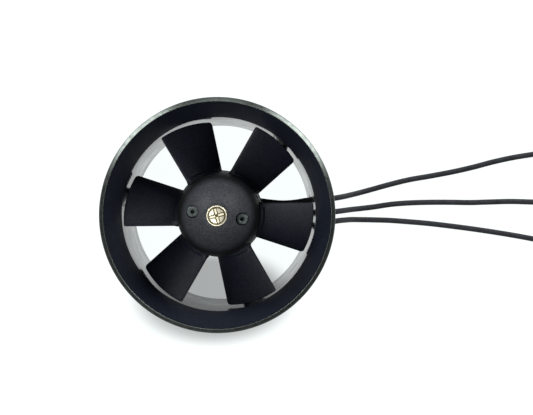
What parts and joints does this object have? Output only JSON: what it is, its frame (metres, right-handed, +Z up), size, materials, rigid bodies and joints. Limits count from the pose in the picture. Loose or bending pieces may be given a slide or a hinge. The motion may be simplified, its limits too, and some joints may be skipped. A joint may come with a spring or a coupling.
{
  "type": "electric ducted fan unit",
  "caption": "Ducted fan for a model jet: flared duct, bladed rotor with a domed spinner, outrunner motor in the stator cup and free motor leads.",
  "frame": {"origin": "on the duct's axis, in the plane of the exhaust rim", "axes": "+Z runs up the duct's axis from the exhaust rim to the intake lip, and the motor leads leave on the +X side"},
  "size_m": [0.1824, 0.074, 0.0636],
  "materials": {
    "matt_plastic": "fine matt moulded",
    "fan_plastic": "fine-grained moulded, slight sheen",
    "duct_plastic": "polished moulded",
    "black_steel": "black oxide",
    "bright_steel": "ground",
    "magnet": "nickel plated",
    "alloy": "turned",
    "gold_plate": "polished gold plate",
    "rubber": "matt",
    "lead_rubber": "soft silicone, matt",
    "shrink_sleeve": "heat-shrunk, satin",
    "copper_wire": "enamelled copper",
    "lamination": "laminated steel",
    "insulator": "resin coated"
  },
  "bodies": {
    "duct": {"intake_ring": "matt_plastic", "duct_housing": "duct_plastic", "motor_base": "alloy", "motor_screws": "bright_steel", "bearing_outer_races": "bright_steel", "bearing_balls": "bright_steel", "stator_core": "lamination", "stator_insulators": "insulator", "windings": "copper_wire", "lead_grommet": "rubber", "inner_leads": "lead_rubber", "lead_top": "lead_rubber", "lead_middle": "lead_rubber", "lead_bottom": "lead_rubber", "sleeve_top": "shrink_sleeve", "sleeve_middle": "shrink_sleeve", "sleeve_bottom": "shrink_sleeve", "bullet_top": "gold_plate", "bullet_middle": "gold_plate", "bullet_bottom": "gold_plate"},
    "fan": {"rotor": "fan_plastic", "spinner": "fan_plastic", "spinner_screws": "black_steel", "nose_screw": "gold_plate", "shaft_adapter": "alloy", "adapter_washer": "bright_steel", "adapter_nut": "bright_steel", "adapter_grub_screws": "black_steel", "motor_shaft": "bright_steel", "shaft_clip": "black_steel", "shaft_shim": "bright_steel", "bearing_inner_races": "bright_steel", "bell_can": "black_steel", "bell_cap": "alloy", "bell_grub_screw": "black_steel", "magnets": "magnet"}
  },
  "joints": [
    {"name": "rotor_spin", "type": "hinge", "parent": "duct", "child": "fan", "pos_m": [0, 0, 0.032], "axis": [0, 0, 1], "continuous": true}
  ]
}
